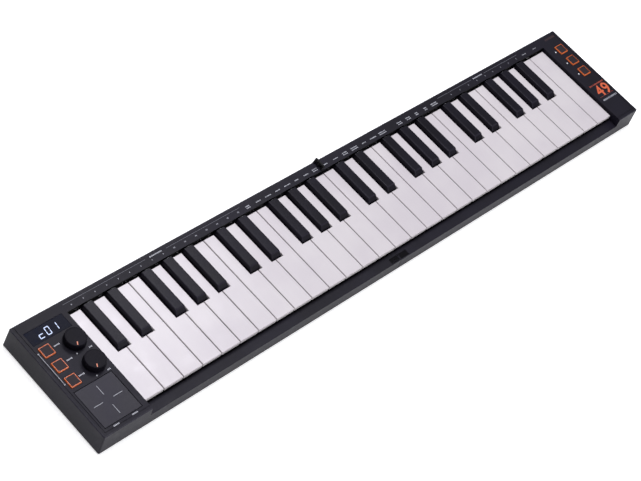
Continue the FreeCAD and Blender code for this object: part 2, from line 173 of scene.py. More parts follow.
def mouldedPlastic(name, dark, light, worn, rough, pebble, coat=0.0, relief=0.00004, shine=0.12):
    # textured moulding: fine pebble, slow changes of tone, smoother and lighter along its edges
    graph = newFinish(name)
    cloud = grain(graph, 38.0, 3.0)
    fine = grain(graph, pebble, 2.0)
    edge = wearAndShadeOf(graph)
    scuffs = grain(graph, 420.0, 4.0, 0.7).ramp(0.60, 0.78)
    colour = graph.mix(cloud.ramp(0.3, 0.7), dark, light)
    colour = graph.mix((edge * (0.45 + scuffs * 0.55)).least(1.0), colour, worn)
    gloss = (rough + (cloud - 0.5) * 0.10 + (fine - 0.5) * 0.12 - edge * 0.12)
    return closeFinish(graph, Base_Color=colour, Roughness=gloss, Coat_Weight=coat, Specular_IOR_Level=shine,
                       Normal=bump(graph, fine, relief))


# shade and barrel are painted shade tones, for the slot, the seam and the hinge barrel
caseLook = {"dark": tone(14, 12, 22), "light": tone(21, 19, 31), "rubbed": tone(54, 52, 64),
            "shade": tone(3, 3, 5), "barrelShade": tone(7, 7, 10), "edgeInset": 1.1, "rimWidth": 0.9,
            "rimHeights": (20.4, 21.2), "slotFront": (44.9, 45.0), "slotRear": (45.4, 45.6),
            "slotTop": (21.2, 21.36), "seamWidth": (0.3, 0.9), "frontWall": (-56.2, -55.9),
            "barrelFoot": (21.6, 22.4)}


def casePlastic():
    # the case: the same moulding, with the rubbed line found from its place on the rim
    def across(axis, name, first=0.0, last=1.0):
        start, end = caseLook[name]
        return axis.ramp(start * mm, end * mm, first, last)

    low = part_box("left_base_shell")[0]
    reach = -low.x - caseLook["edgeInset"] * mm
    depth = -low.y - caseLook["edgeInset"] * mm
    rimWidth = caseLook["rimWidth"] * mm
    graph = newFinish("case_plastic")
    x, y, z = axesOf(graph, objectPlace(graph))
    rim = x.size().ramp(reach - rimWidth, reach).most(y.size().ramp(depth - rimWidth, depth))
    rim = rim * across(z, "rimHeights")
    cloud = grain(graph, 30.0, 3.0)
    fine = grain(graph, 2300.0, 2.0)
    smudge = grain(graph, 85.0, 4.0, 0.65).ramp(0.52, 0.72)
    scuffs = grain(graph, 300.0, 4.0, 0.7).ramp(0.45, 0.70)
    colour = graph.mix(cloud.ramp(0.3, 0.7), caseLook["dark"], caseLook["light"])
    colour = graph.mix(rim * (0.35 + scuffs * 0.45), colour, caseLook["rubbed"])
    # the slot behind the keys and the seam in the front wall are painted dark as painted shade, and the hinge
    # barrel is painted darker as painted shade
    slotShade = across(y, "slotFront") * across(y, "slotRear", 1.0, 0.0)
    slotShade = slotShade * across(z, "slotTop", 1.0, 0.0)
    colour = graph.mix(slotShade, colour, caseLook["shade"])
    seam = across(x.size(), "seamWidth", 1.0, 0.0) * across(y, "frontWall", 1.0, 0.0)
    colour = graph.mix(seam, colour, caseLook["shade"])
    # the hinge barrel above the panel is painted darker: painted shade
    colour = graph.mix(across(z, "barrelFoot"), colour, caseLook["barrelShade"])
    gloss = 0.50 + (cloud - 0.5) * 0.08 + (fine - 0.5) * 0.14 - smudge * 0.05 - rim * 0.10
    return closeFinish(graph, Base_Color=colour, Roughness=gloss, Specular_IOR_Level=0.18,
                       Normal=bump(graph, fine, 0.00005))


def keyWhite():
    graph = newFinish("key_white")
    cloud = grain(graph, 24.0, 3.0)
    fine = grain(graph, 1500.0, 2.0)
    touched = grain(graph, 60.0, 4.0, 0.6).ramp(0.50, 0.72)
    colour = graph.mix(cloud.ramp(0.3, 0.7), tone(207, 202, 204), tone(200, 194, 198))
    # the rounded edges of the key are painted darker: painted shade on the edges
    colour = graph.mix(wearAndShadeOf(graph) * 0.5, colour, tone(176, 168, 172))
    # the ribs that reach under the rear strip are painted dark: painted shade under the strip
    ribsFrom, ribsFull = 43.62 * mm, 43.8 * mm
    ribShade = axesOf(graph, objectPlace(graph))[1].ramp(ribsFrom, ribsFull)
    colour = graph.mix(ribShade, colour, tone(26, 25, 28))
    return closeFinish(graph, Base_Color=colour, Roughness=0.36 + (fine - 0.5) * 0.12 - touched * 0.06,
                       Coat_Weight=0.12, Coat_Roughness=0.25, Normal=bump(graph, fine, 0.000012))


def litDigits():
    graph = newFinish("lit_digits")
    glow = grain(graph, 900.0, 1.0).ramp(0.3, 0.7, 0.82, 1.0)
    colour = graph.mix(glow, tone(150, 180, 250), tone(214, 228, 255))
    return closeFinish(graph, Base_Color=tone(60, 70, 100), Roughness=0.4, Emission_Color=colour,
                       Emission_Strength=1.0)


def displayGlass():
    graph = newFinish("display_glass")
    haze = grain(graph, 140.0, 4.0, 0.6).ramp(0.5, 0.8)
    colour = graph.mix(haze, tone(13, 16, 30), tone(19, 23, 41))
    return closeFinish(graph, Base_Color=colour, Roughness=0.24 + haze * 0.12, Specular_IOR_Level=0.02,
                       Normal=bump(graph, grain(graph, 60.0), 0.00002))


def printedInk(name, colour, faded):
    graph = newFinish(name)
    patches = grain(graph, 1800.0, 3.0, 0.6).ramp(0.42, 0.62)
    return closeFinish(graph, Base_Color=graph.mix(patches, faded, colour),
                       Roughness=0.42 + patches * 0.12, Normal=bump(graph, patches, 0.000006))


def steel(name, bright, dull, rough):
    # turned or stamped metal: fine streaks, dull patches
    graph = newFinish(name)
    place = graph.node("ShaderNodeMapping", {}, {
        "Vector": objectPlace(graph), "Scale": (90.0, 2600.0, 2600.0)})
    streaks = graph.node("ShaderNodeTexNoise", {}, {"Vector": place, "Scale": 1.0, "Detail": 3.0})
    dulled = grain(graph, 420.0, 4.0, 0.7).ramp(0.48, 0.70)
    return closeFinish(graph, Base_Color=graph.mix(dulled, bright, dull), Metallic=1.0,
                       Roughness=rough + streaks * 0.14 + dulled * 0.12, Normal=bump(graph, streaks, 0.00001))


def rubber():
    graph = newFinish("foot_rubber")
    fine = grain(graph, 1400.0, 4.0, 0.7)
    dust = grain(graph, 260.0, 4.0, 0.7).ramp(0.50, 0.75)
    return closeFinish(graph, Base_Color=graph.mix(dust, tone(30, 30, 32), tone(62, 61, 60)),
                       Roughness=0.78 + (fine - 0.5) * 0.2, Normal=bump(graph, fine, 0.00008))


def circuitBoard():
    # solder mask over tracks, with bare pads between them
    graph = newFinish("circuit_board")
    place = objectPlace(graph)
    tracks = graph.node("ShaderNodeTexBrick", {"offset": 0.5}, {
        "Vector": place, "Scale": 260.0, "Mortar Size": 0.035, "Mortar Smooth": 0.3}, out="Fac")
    pads = graph.node("ShaderNodeTexVoronoi", {"feature": "F1"}, {"Vector": place, "Scale": 240.0})
    pads = 1 - pads.ramp(0.16, 0.20)
    colour = graph.mix(tracks, tone(14, 62, 38), tone(30, 104, 62))
    colour = graph.mix(pads, colour, tone(205, 190, 150))
    return closeFinish(graph, Base_Color=colour, Metallic=pads * 0.9, Roughness=0.38 + pads * 0.1,
                       Normal=bump(graph, tracks.most(pads), 0.00003))


def batteryWrap():
    graph = newFinish("battery_wrap")
    creases = grain(graph, 130.0, 5.0, 0.7)
    seam = grain(graph, 20.0).ramp(0.35, 0.65)
    return closeFinish(graph, Base_Color=graph.mix(seam, tone(165, 168, 176), tone(140, 144, 154)),
                       Metallic=0.55, Roughness=0.34 + creases * 0.2, Normal=bump(graph, creases, 0.0003))


finishes = {
    "case": casePlastic(),
    "touchPad": mouldedPlastic("touch_pad_plastic", tone(24, 22, 33), tone(31, 29, 42), tone(44, 42, 54),
                               0.42, 1700.0, shine=0.2),
    "knob": mouldedPlastic("knob_plastic", tone(13, 12, 19), tone(19, 17, 26), tone(48, 46, 56), 0.52, 1500.0,
                           shine=0.095),
    "keyWhite": keyWhite(),
    "keyBlack": mouldedPlastic("key_black", tone(13, 11, 20), tone(19, 17, 28), tone(54, 51, 62), 0.38,
                               1300.0, relief=0.00003),
    "orange": mouldedPlastic("button_orange", tone(192, 92, 46), tone(206, 104, 54), tone(236, 146, 96), 0.36,
                             1800.0, coat=0.15, relief=0.00001),
    "buttonFace": mouldedPlastic("button_face", tone(40, 34, 38), tone(48, 41, 45), tone(74, 58, 54), 0.50,
                                 1900.0),
    "glass": displayGlass(),
    "digits": litDigits(),
    "ink": printedInk("legend_ink", tone(200, 202, 210), tone(168, 170, 178)),
    "faintInk": printedInk("faint_ink", tone(118, 119, 128), tone(94, 95, 103)),
    "midInk": printedInk("middle_ink", tone(160, 161, 170), tone(134, 135, 144)),
    "orangeInk": printedInk("orange_ink", tone(222, 102, 58), tone(196, 84, 48)),
    "dimOrangeInk": printedInk("dim_orange_ink", tone(176, 70, 44), tone(146, 56, 38)),
    "redInk": printedInk("dark_red_ink", tone(56, 22, 26), tone(42, 20, 24)),
    "pointer": printedInk("pointer_ink", tone(250, 168, 140), tone(236, 146, 118)),
    "lightPipe": printedInk("light_pipe", tone(236, 238, 242), tone(214, 217, 224)),
    "steel": steel("bright_steel", tone(196, 197, 200), tone(150, 151, 155), 0.22),
    "blackSteel": steel("black_steel", tone(74, 74, 78), tone(46, 46, 50), 0.36),
    "catch": mouldedPlastic("catch_plastic", tone(5, 5, 8), tone(10, 9, 13), tone(66, 64, 74), 0.58, 2000.0,
                            shine=0.06),
    "rubber": rubber(),
    "board": circuitBoard(),
    "battery": batteryWrap(),
    "moduleBlack": mouldedPlastic("module_black", tone(26, 26, 28), tone(34, 34, 36), tone(60, 60, 62), 0.5,
                                  1500.0),
    "domeRubber": mouldedPlastic("dome_rubber", tone(120, 122, 126), tone(134, 136, 140), tone(150, 152, 156),
                                 0.62, 1500.0),
}
print("finishes made:", len(finishes))


# meshes and pieces

weld = {"reach": 1e-6, "wrapReach": 1e-7, "flatTurn": 0.5}  # metres, metres and degrees
nearly = 0.02 * mm


def solidsOf(node):
    # the solids of a CAD node as separate clean meshes, in the order they were made
    source = bmesh.new()
    source.from_mesh(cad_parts[node].data)
    order = source.verts.layers.int.new("order")
    for vert in source.verts:
        vert[order] = vert.index
    bmesh.ops.remove_doubles(source, verts=source.verts, dist=weld["reach"])
    bmesh.ops.dissolve_limit(source, angle_limit=math.radians(weld["flatTurn"]), verts=source.verts,
                             edges=source.edges)
    islands = []
    waiting = set(source.faces)
    while waiting:
        seed = waiting.pop()
        island = {seed}
        border = [seed]
        while border:
            face = border.pop()
            for edge in face.edges:
                for other in edge.link_faces:
                    if other in waiting:
                        waiting.discard(other)
                        island.add(other)
                        border.append(other)
        islands.append(island)
    islands.sort(key=lambda faces: min(v[order] for f in faces for v in f.verts))
    solids = []
    for island in islands:
        solid = bmesh.new()
        made = {}
        for face in sorted(island, key=lambda f: f.index):
            corners = []
            for vert in face.verts:
                if vert not in made:
                    made[vert] = solid.verts.new(vert.co)
                corners.append(made[vert])
            solid.faces.new(corners)
        solid.normal_update()
        solids.append(solid)
    source.free()
    return solids


def boxOf(solid):
    low = Vector([min(v.co[i] for v in solid.verts) for i in range(3)])
    high = Vector([max(v.co[i] for v in solid.verts) for i in range(3)])
    return low, high


def roundEdges(solid, chosen, radius, steps=3):
    # rounds the chosen edges and marks the new strips as the places that wear; the white keys get painted
    # shade there
    edges = [e for e in solid.edges if len(e.link_faces) == 2 and chosen(e)]
    if not edges:
        return
    wear_and_shade = solid.verts.layers.float.get("wear_and_shade") or solid.verts.layers.float.new("wear_and_shade")
    strips = set(bmesh.ops.bevel(solid, geom=edges, offset=radius, offset_type="OFFSET", segments=steps,
                                 profile=0.5, affect="EDGES", clamp_overlap=False)["faces"])
    for face in strips:
        for vert in face.verts:
            if all(f in strips for f in vert.link_faces):
                vert[wear_and_shade] = 1.0


def isLevel(edge, height):
    return all(abs(v.co.z - height) < nearly for v in edge.verts)


def roundTop(solid, radius):
    top = boxOf(solid)[1].z
    roundEdges(solid, lambda edge: isLevel(edge, top), radius * mm, steps=2)


def softNormals(mesh, limit=38.0):
    # large flat faces stay flat, and small turns between faces are shaded round
    limit = math.cos(math.radians(limit))
    around = [[] for _ in mesh.vertices]
    for face in mesh.polygons:
        for index in face.vertices:
            around[index].append((face.normal.copy(), face.area))
    normals = []
    for face in mesh.polygons:
        for index in face.vertices:
            total = Vector((0, 0, 0))
            for normal, area in around[index]:
                if normal.dot(face.normal) > limit:
                    total += normal * area
            normals.append(total.normalized() if total.length > 0 else face.normal)
    mesh.polygons.foreach_set("use_smooth", [True] * len(mesh.polygons))
    mesh.normals_split_custom_set(normals)


def addPiece(name, mesh, body, paints, nodes=()):
    mesh.name = name
    if mesh.materials:  # clearing sends every face to the first slot, so only grown meshes are cleared
        mesh.materials.clear()
    for paint in paints:
        mesh.materials.append(finishes[paint])
    piece = bpy.data.objects.new(name, mesh)
    bpy.context.scene.collection.objects.link(piece)
    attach(piece, body)
    if nodes:
        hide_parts(*nodes)
    return piece


def pieceFrom(name, solid, body, paints, nodes=()):
    mesh = bpy.data.meshes.new(name)
    solid.normal_update()
    solid.to_mesh(mesh)
    solid.free()
    softNormals(mesh)
    return addPiece(name, mesh, body, paints, nodes)


# geometry trees

def newTree(name, inputs):
    tree = bpy.data.node_groups.new(name, "GeometryNodeTree")
    tree.interface.new_socket("Geometry", in_out="INPUT", socket_type="NodeSocketGeometry")
    tree.interface.new_socket("Geometry", in_out="OUTPUT", socket_type="NodeSocketGeometry")
    for label, value in inputs.items():
        kind = "Int" if isinstance(value, int) else "Float"
        socket = tree.interface.new_socket(label, in_out="INPUT", socket_type="NodeSocket" + kind)
        socket.default_value = value
    tree.interface.new_socket("Material", in_out="INPUT", socket_type="NodeSocketMaterial")
    graph = Graph(tree)
    source = tree.nodes.new("NodeGroupInput")
    given = {socket.name: Sock(graph, socket) for socket in source.outputs if socket.name}
    return graph, given


def closeTree(graph, geometry, given):
    whole = graph.node("GeometryNodeRealizeInstances", {}, {"Geometry": geometry})
    painted = graph.node("GeometryNodeSetMaterial", {}, {"Geometry": whole,
                                                         "Material": given["Material"]})
    graph.node("NodeGroupOutput", {}, {"Geometry": painted})
    return graph.tree


def onPoints(graph, points, shape, **sockets):
    return graph.node("GeometryNodeInstanceOnPoints", {}, {"Points": points, "Instance": shape, **sockets})


def inMetres(sizes):
    return {name: value * mm for name, value in sizes.items()}


def grow(name, tree, values, points, edges, body, paint, nodes=(), turned=False):
    # runs a tree on places given as points or lines and keeps the result as a plain mesh
    seedMesh = bpy.data.meshes.new(name + "_places")
    seedMesh.from_pydata([tuple(p) for p in points], edges, [])
    seed = bpy.data.objects.new(name + "_places", seedMesh)
    bpy.context.scene.collection.objects.link(seed)
    modifier = seed.modifiers.new("grow", "NODES")
    modifier.node_group = tree
    for item in tree.interface.items_tree:
        if item.in_out == "INPUT" and item.name in values:
            modifier[item.identifier] = values[item.name]
        elif item.name == "Material":
            modifier[item.identifier] = finishes[paint]
    bpy.context.view_layer.update()
    shown = seed.evaluated_get(bpy.context.evaluated_depsgraph_get())
    mesh = bpy.data.meshes.new_from_object(shown)
    seed.modifiers.remove(modifier)
    bpy.data.objects.remove(seed)
    bpy.data.meshes.remove(seedMesh)
    if turned:
        solid = bmesh.new()
        solid.from_mesh(mesh)
        bmesh.ops.remove_doubles(solid, verts=solid.verts, dist=weld["wrapReach"])
        bmesh.ops.recalc_face_normals(solid, faces=solid.faces)
        solid.to_mesh(mesh)
        solid.free()
        softNormals(mesh)
    return addPiece(name, mesh, body, [paint], nodes)


def revolve(graph, outline, roundness, sides):
    # turns an outline of (radius, height) pairs about the z axis, with its corners rounded
    index = graph.node("GeometryNodeInputIndex")
    spots = {"Index": index}
    for i, (radius, height) in enumerate(outline):
        spots[i + 1] = graph.vector(radius, 0.0, height)
    place = graph.node("GeometryNodeIndexSwitch", {"data_type": "VECTOR", "items": len(outline)}, spots)
    line = graph.node("GeometryNodeMeshLine", {}, {"Count": len(outline)})
    line = graph.node("GeometryNodeSetPosition", {}, {"Geometry": line, "Position": place})
    curve = graph.node("GeometryNodeMeshToCurve", {}, {"Mesh": line})
    curve = graph.node("GeometryNodeFilletCurve", {"mode": "POLY"},
                       {"Curve": curve, "Radius": roundness, "Limit Radius": True, "Count": 3})
    wire = graph.node("GeometryNodeCurveToMesh", {}, {"Curve": curve})
    rows = graph.node("GeometryNodeAttributeDomainSize", {}, {"Geometry": wire}, out="Point Count")
    sheet = graph.node("GeometryNodeMeshGrid", {}, {"Size X": 1.0, "Size Y": 1.0, "Vertices X": sides + 1,
                                                    "Vertices Y": rows})
    across, along, _ = axesOf(graph, graph.node("GeometryNodeInputPosition"))
    turn = (across + 0.5) * math.tau
    row = ((along + 0.5) * (rows - 1)).single("ROUND")
    spot = graph.node("GeometryNodeSampleIndex", {"data_type": "FLOAT_VECTOR"},
                      {"Geometry": wire, "Value": graph.node("GeometryNodeInputPosition"), "Index": row})
    radius, _, height = axesOf(graph, spot)
    ring = graph.vector(radius * turn.single("COSINE"), radius * turn.single("SINE"), height)
    return graph.node("GeometryNodeSetPosition", {}, {"Geometry": sheet, "Position": ring})


# places read from the frame

leftSolids = solidsOf("left_electronics")
leftNames = ["control_board", "port_board", "battery", "pad_sensor_board", "touch_pad", "display_module",
             "display_window", "upper_potentiometer", "lower_potentiometer", "left_switch_1", "left_switch_2",
             "left_switch_3", "pedal_socket", "usb_socket", "left_contact_board", "left_contact_strip_1",
             "left_contact_strip_2"]
electronics = dict(zip(leftNames, leftSolids))
places = {name: boxOf(solid) for name, solid in electronics.items()}
panelTop = places["touch_pad"][1].z
print("left electronics:", len(leftSolids), "solids; panel top at", round(panelTop / mm, 2), "mm")


# case shells

for shell in ("left_base_shell", "left_top_shell", "right_base_shell", "right_top_shell"):
    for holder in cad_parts[shell].material_slots:
        holder.material = finishes["case"]
print("case finished")


# keys

whiteKey = {"edge": 0.6, "lipEdge": 0.7, "turn": 0.6}
blackKey = {"edge": 0.95, "capLength": 30.0, "turn": 0.3}


def makeWhiteKey(node):
    solid = solidsOf(node)[0]
    low, high = boxOf(solid)

    def frontCorner(edge):
        a, b = edge.verts[0].co, edge.verts[1].co
        return all(abs(v.y - low.y) < nearly for v in (a, b)) and abs(a.z - b.z) > mm

    def topEdge(edge):
        return isLevel(edge, high.z) and edge.calc_face_angle() > whiteKey["turn"]

    roundEdges(solid, frontCorner, whiteKey["lipEdge"] * mm)
    roundEdges(solid, topEdge, whiteKey["edge"] * mm)
    return pieceFrom(node + "_plastic", solid, node, ["keyWhite"], [node])


def makeBlackKey(node):
    solid = solidsOf(node)[0]
    low, high = boxOf(solid)

    def capEdge(edge):
        rear = all(v.co.y > low.y + blackKey["capLength"] * mm for v in edge.verts)
        upper = max(v.co.z for v in edge.verts) > high.z - nearly
        return upper and not rear and edge.calc_face_angle() > blackKey["turn"]

    roundEdges(solid, capEdge, blackKey["edge"] * mm)
    return pieceFrom(node + "_plastic", solid, node, ["keyBlack"], [node])


keyNodes = [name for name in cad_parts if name.startswith("key_")]
for node in keyNodes:
    if "sharp" in node:
        makeBlackKey(node)
    else:
        makeWhiteKey(node)
print("keys made:", len(keyNodes))


# knobs

knob = {"sizes": {"Base radius": 9.3, "Top radius": 8.6, "Height": 5.5, "Dish": 0.12, "Rim": 0.5,
                  "Skirt inner": 7.6, "Plate": 1.7, "Hub radius": 4.6, "Bore radius": 3.0, "Hub lift": 0.3},
        "lipInRims": 1.6, "dishSlope": 0.4, "sides": 72, "pointerFrom": 4.6, "pointerTo": 7.9,
        "pointerWidth": 0.8, "pointerThickness": 0.06, "pointerAngle": 241.0}


def knobTree():
    graph, given = newTree("turned_knob", inMetres(knob["sizes"]))
    top = given["Height"]
    floor = top - given["Dish"]
    under = top - given["Plate"]
    inner = given["Top radius"] - given["Rim"] * knob["lipInRims"]
    outline = [(0.0, floor), (inner - knob["dishSlope"] * mm, floor), (inner, top),
               (given["Top radius"], top), (given["Base radius"], 0.0), (given["Skirt inner"], 0.0),
               (given["Skirt inner"], under),
               (given["Hub radius"], under), (given["Hub radius"], given["Hub lift"]),
               (given["Bore radius"], given["Hub lift"]), (given["Bore radius"], under), (0.0, under)]
    turned = revolve(graph, outline, given["Rim"], knob["sides"])
    return closeTree(graph, onPoints(graph, given["Geometry"], turned), given)


def makeKnob(node, tree):
    cap, shaft = solidsOf(node)
    low, high = boxOf(cap)
    centre = (low + high) / 2
    values = {**inMetres(knob["sizes"]), "Base radius": (high.x - low.x) / 2}
    base = Vector((centre.x, centre.y, high.z - values["Height"]))
    grow(node + "_cap", tree, values, [base], [], node, "knob", [node], turned=True)
    pieceFrom(node + "_shaft", shaft, node, ["steel"])
    cap.free()
    angle = math.radians(knob["pointerAngle"])
    way = Vector((math.cos(angle), math.sin(angle), 0))
    face = Vector((centre.x, centre.y, high.z - values["Dish"]))
    ends = [face + way * knob["pointerFrom"] * mm, face + way * knob["pointerTo"] * mm]
    pointer = {"Width": knob["pointerWidth"] * mm, "Thickness": knob["pointerThickness"] * mm}
    grow(node + "_pointer", inkLines, pointer, ends, [(0, 1)], node, "pointer")


# printed legends

def lineTree():
    # a printed line along each edge that it is given
    graph, given = newTree("printed_lines", {"Width": 0.4 * mm, "Thickness": 0.03 * mm})
    path = graph.node("GeometryNodeMeshToCurve", {}, {"Mesh": given["Geometry"]})
    path = graph.node("GeometryNodeSetCurveNormal", {"mode": "Z_UP"}, {"Curve": path})
    section = graph.node("GeometryNodeCurvePrimitiveQuadrilateral", {},
                         {"Width": given["Width"], "Height": given["Thickness"]})
    line = graph.node("GeometryNodeCurveToMesh", {}, {"Curve": path, "Profile Curve": section,
                                                      "Fill Caps": True})
    return closeTree(graph, line, given)


def dotTree():
    graph, given = newTree("printed_dots", {"Radius": 0.4 * mm, "Thickness": 0.03 * mm, "Sides": 12})
    dot = graph.node("GeometryNodeMeshCylinder", {}, {
        "Vertices": given["Sides"], "Radius": given["Radius"], "Depth": given["Thickness"]})
    return closeTree(graph, onPoints(graph, given["Geometry"], dot), given)


def wordTree():
    # rows of small uneven bars, one row for each point: the size of a word, with nothing to read
    graph, given = newTree("printed_words", {
        "Letters": 4, "Letter width": 0.8 * mm, "Letter height": 1.2 * mm, "Gap": 0.3 * mm,
        "Thickness": 0.03 * mm, "Seed": 3})
    step = given["Letter width"] + given["Gap"]
    start = graph.vector((given["Letters"] - 1) * step * -0.5, 0.0, 0.0)
    row = graph.node("GeometryNodeMeshLine", {"mode": "OFFSET"}, {
        "Count": given["Letters"], "Start Location": start, "Offset": graph.vector(step, 0.0, 0.0)})
    size = graph.vector(given["Letter width"], given["Letter height"], given["Thickness"])
    letter = graph.node("GeometryNodeMeshCube", {}, {"Size": size})
    uneven = graph.node("FunctionNodeRandomValue", {"data_type": "FLOAT_VECTOR"},
                        {"Min": (0.62, 0.72, 1.0), "Max": (1.0, 1.0, 1.0), "Seed": given["Seed"]})
    word = graph.node("GeometryNodeRealizeInstances", {},
                      {"Geometry": onPoints(graph, row, letter, Scale=uneven)})
    return closeTree(graph, onPoints(graph, given["Geometry"], word), given)


inkLines = lineTree()
inkDots = dotTree()
inkWords = wordTree()
ink = {"thickness": 0.04, "letterGap": 0.28}


def onPanel(x, y):
    return Vector((x * mm, y * mm, panelTop))


def printLines(name, lines, body, width, paint="ink"):
    points = [onPanel(*spot) for line in lines for spot in line]
    edges = [(2 * i, 2 * i + 1) for i in range(len(lines))]
    values = {"Width": width * mm, "Thickness": ink["thickness"] * mm}
    grow(name, inkLines, values, points, edges, body, paint)


def printDots(name, spots, body, radius):
    values = {"Radius": radius * mm, "Thickness": ink["thickness"] * mm}
    grow(name, inkDots, values, [onPanel(*spot) for spot in spots], [], body, "ink")


def printWords(name, spots, body, letters, height, width, seed, paint="ink"):
    values = {"Letters": letters, "Letter width": width * mm, "Letter height": height * mm,
              "Gap": ink["letterGap"] * mm, "Thickness": ink["thickness"] * mm, "Seed": seed}
    grow(name, inkWords, values, [onPanel(*spot) for spot in spots], [], body, paint)


turnedKnob = knobTree()
makeKnob("upper_knob", turnedKnob)
makeKnob("lower_knob", turnedKnob)
print("knobs made")

buttonLine = [(-323.4, 26.6), (-323.4, -4.5)]
printLines("button_row_line", [buttonLine], "left_half", width=0.4)
printDots("button_row_line_ends", buttonLine, "left_half", radius=0.6)
printWords("button_words", [(-306.4, 26.1), (-306.3, 11.1), (-307.2, -4.3)], "left_half", letters=5,
           height=1.3, width=0.85, seed=5)
printDots("knob_dots", [(-298.2, 12.0), (-297.9, -11.1)], "left_half", radius=0.65)
printWords("knob_words", [(-285.5, 11.5), (-286.5, -11.5)], "left_half", letters=3, height=1.3, width=0.8,
           seed=8)
printWords("pad_words", [(-313.0, -51.7), (-294.9, -51.6)], "left_half", letters=5, height=1.2, width=0.85,
           seed=11)

pad = {"middle": (-304.2, -31.7), "gap": 5.1, "arm": 8.6, "line": 0.4}
px, py = pad["middle"]
near, far = pad["gap"], pad["gap"] + pad["arm"]
padArms = [((px + x * near, py + y * near), (px + x * far, py + y * far))
           for x, y in ((0, 1), (0, -1), (1, 0), (-1, 0))]
printLines("pad_cross", padArms, "left_half", width=pad["line"])

strip = {"line": 52.0, "lineWidth": 0.3, "row": 48.9, "upper": 49.8, "lower": 48.0, "letterPitch": 1.15,
         "wordSize": (0.95, 0.85), "markSize": (1.25, 0.75), "titleSize": (1.2, 0.9), "titleLetters": 11,
         "firstMark": -273.5, "markPitch": 11.75}
# each word: its middle, its length and its number of rows
leftWords = [(-86.0, 5.0, 2), (-74.0, 6.0, 1), (-62.5, 7.0, 1), (-51.5, 6.0, 1), (-40.0, 7.0, 1),
             (-29.0, 5.0, 1), (-17.5, 6.0, 1), (-6.8, 5.5, 2)]
rightWords = [(6.5, 5.0, 1), (18.5, 6.0, 1), (30.5, 6.0, 2), (42.2, 8.5, 2), (54.5, 5.0, 1), (66.2, 7.5, 1),
              (78.2, 9.5, 2), (100.8, 5.5, 2), (112.2, 5.5, 2), (123.5, 3.0, 2), (135.5, 3.0, 2),
              (147.2, 7.5, 2), (275.8, 5.5, 1), (291.2, 4.5, 1)]
leftMarks = [strip["firstMark"] + strip["markPitch"] * i for i in range(16)]
rightMarks = [170.8, 183.0, 195.0, 207.0, 218.8, 229.7, 241.2, 252.5, 263.8]


def printStrip(side, words, dots, lines, title):
    body = side + "_half"
    height, width = strip["wordSize"]
    for count, (x, length, rows) in enumerate(words):
        letters = max(3, round(length / strip["letterPitch"]))
        heights = [strip["upper"], strip["lower"]] if rows == 2 else [strip["row"]]
        printWords("strip_%s_word_%d" % (side, count + 1), [(x, y) for y in heights], body, letters, height,
                   width, seed=count + 2)
    # the first nine marks have one figure and the others two
    height, width = strip["markSize"]
    for figures, marks in ((1, dots[:9]), (2, dots[9:])):
        if marks:
            spots = [(x, strip["row"]) for x in marks]
            printWords("strip_%s_marks_%d" % (side, figures), spots, body, figures, height, width,
                       seed=figures, paint="midInk")
    printLines("strip_%s_line" % side, [((a, strip["line"]), (b, strip["line"])) for a, b in lines], body,
               strip["lineWidth"], "faintInk")
    height, width = strip["titleSize"]
    printWords("strip_%s_title" % side, [(title, strip["line"])], body, strip["titleLetters"], height, width,
               seed=4)


printStrip("left", leftWords, leftMarks, [(-279.5, -196.0), (-174.0, -93.0)], -185.0)
printStrip("right", rightWords, rightMarks, [(155.0, 202.0), (220.0, 268.0)], 211.0)
print("legends printed")


# the number of keys on the treble panel

number = {"text": "49", "height": 12.6, "emInHeights": 1.35, "boldness": 0.26, "thickness": 0.02,
          "middle": (315.5, -21.0), "spacing": 1.1}


def makeNumber():
    letters = bpy.data.curves.new("key_count", "FONT")
    letters.body = number["text"]
    letters.size = number["height"] * mm * number["emInHeights"]
    letters.offset = number["boldness"] * mm
    letters.extrude = number["thickness"] * mm
    letters.space_character = number["spacing"]
    letters.align_x = "CENTER"
    letters.align_y = "CENTER"
    holder = bpy.data.objects.new("key_count_text", letters)
    bpy.context.scene.collection.objects.link(holder)
    bpy.context.view_layer.update()
    mesh = bpy.data.meshes.new_from_object(holder.evaluated_get(bpy.context.evaluated_depsgraph_get()))
    bpy.data.objects.remove(holder)
    spots = [vert.co.copy() for vert in mesh.vertices]
    middle = Vector([(min(p[i] for p in spots) + max(p[i] for p in spots)) / 2 for i in (0, 1)] + [0.0])
    target = onPanel(*number["middle"])
    for vert in mesh.vertices:
        vert.co += target - middle
    addPiece("key_count_number", mesh, "right_half", ["orangeInk"])


makeNumber()
printWords("number_bar", [(314.9, -31.2)], "right_half", letters=12, height=2.0, width=1.4, seed=12,
           paint="midInk")
printWords("number_line", [(314.7, -12.9)], "right_half", letters=12, height=1.7, width=1.4, seed=14,
           paint="dimOrangeInk")
printLines("number_rule", [((304.7, -27.2), (324.0, -27.2))], "right_half", width=0.25, paint="dimOrangeInk")
printWords("corner_word", [(316.4, 50.8)], "right_half", letters=8, height=2.6, width=1.5, seed=15,
           paint="redInk")


# display

digit = {"height": 7.4, "width": 4.3, "stroke": 0.72, "gap": 0.12, "slant": 0.09, "pitch": 7.0,
         "baseline": -4.2, "thickness": 0.04, "sunk": 0.005}
lit = ["deg", "abcdef", "bc"]


def segmentShape(letter):
    w, h, s = digit["width"] / 2, digit["height"] / 2, digit["stroke"]
    level = {"a": h - s / 2, "g": 0.0, "d": -h + s / 2}
    if letter in level:
        reach, y = w - s / 2 - digit["gap"], level[letter]
        return [(-reach - s / 2, y), (-reach, y + s / 2), (reach, y + s / 2), (reach + s / 2, y),
                (reach, y - s / 2), (-reach, y - s / 2)]
    x = w - s / 2 if letter in "bc" else -w + s / 2
    top, bottom = (h - s / 2, 0.0) if letter in "bf" else (0.0, -h + s / 2)
    top, bottom = top - digit["gap"], bottom + digit["gap"]
    return [(x, top), (x + s / 2, top - s / 2), (x + s / 2, bottom + s / 2), (x, bottom),
            (x - s / 2, bottom + s / 2), (x - s / 2, top - s / 2)]


